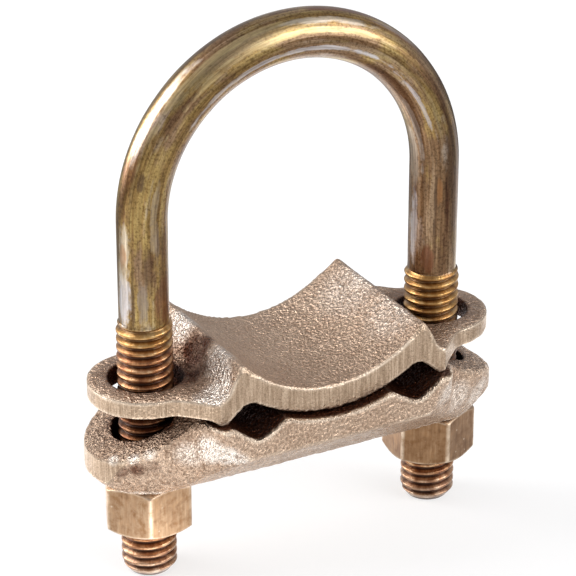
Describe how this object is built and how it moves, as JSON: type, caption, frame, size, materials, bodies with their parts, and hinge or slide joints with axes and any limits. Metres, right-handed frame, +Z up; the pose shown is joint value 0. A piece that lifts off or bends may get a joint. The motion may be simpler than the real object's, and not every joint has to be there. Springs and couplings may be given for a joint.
{
  "type": "u-bolt grounding connector",
  "caption": "Cast bronze U-bolt grounding clamp: a bent threaded rod holds a pipe cradle and a keeper with two cable grooves between them, drawn up by hexagon nuts.",
  "frame": {"origin": "middle of the overall box, on the plane of the bolt's two leg ends", "axes": "+Z up along the bolt's legs to its bend, +X from the left leg to the right leg, +Y along the pipe and cables, away from the viewer"},
  "size_m": [0.0764, 0.0352, 0.0962],
  "materials": {
    "bolt_bronze": "rolled bronze rod, semi-gloss olive and brown patina with lengthwise streaks",
    "saddle_casting": "sand-cast bronze, fine grain, ground front face and ear edges",
    "keeper_casting": "sand-cast bronze, coarse grain underneath",
    "nut_bronze": "machined bronze with orange-brown tarnish"
  },
  "bodies": {
    "bolt": {"u_bolt": "bolt_bronze"},
    "keeper": {"cable_keeper": "keeper_casting"},
    "saddle": {"pipe_saddle": "saddle_casting"},
    "left_nut": {"nut_left": "nut_bronze"},
    "right_nut": {"nut_right": "nut_bronze"}
  },
  "joints": [
    {"name": "keeper_slide", "type": "slide", "parent": "bolt", "child": "keeper", "axis": [0, 0, 1], "range_m": [-0.00634, 0.0238]},
    {"name": "nut_left_turn", "type": "hinge", "parent": "keeper", "child": "left_nut", "pos_m": [-0.02765, 0, 0.01345], "axis": [0, 0, 1], "range_deg": [-1440, 5400]},
    {"name": "nut_right_turn", "type": "hinge", "parent": "keeper", "child": "right_nut", "pos_m": [0.02765, 0, 0.01345], "axis": [0, 0, 1], "range_deg": [-1440, 5400]},
    {"name": "saddle_lift", "type": "slide", "parent": "keeper", "child": "saddle", "axis": [0, 0, 1], "range_m": [0, 0.01]}
  ],
  "couplings": [
    {"joint": "nut_left_turn", "follows": "keeper_slide", "rad_per_m": 3957.9},
    {"joint": "nut_right_turn", "follows": "keeper_slide", "rad_per_m": 3957.9}
  ]
}
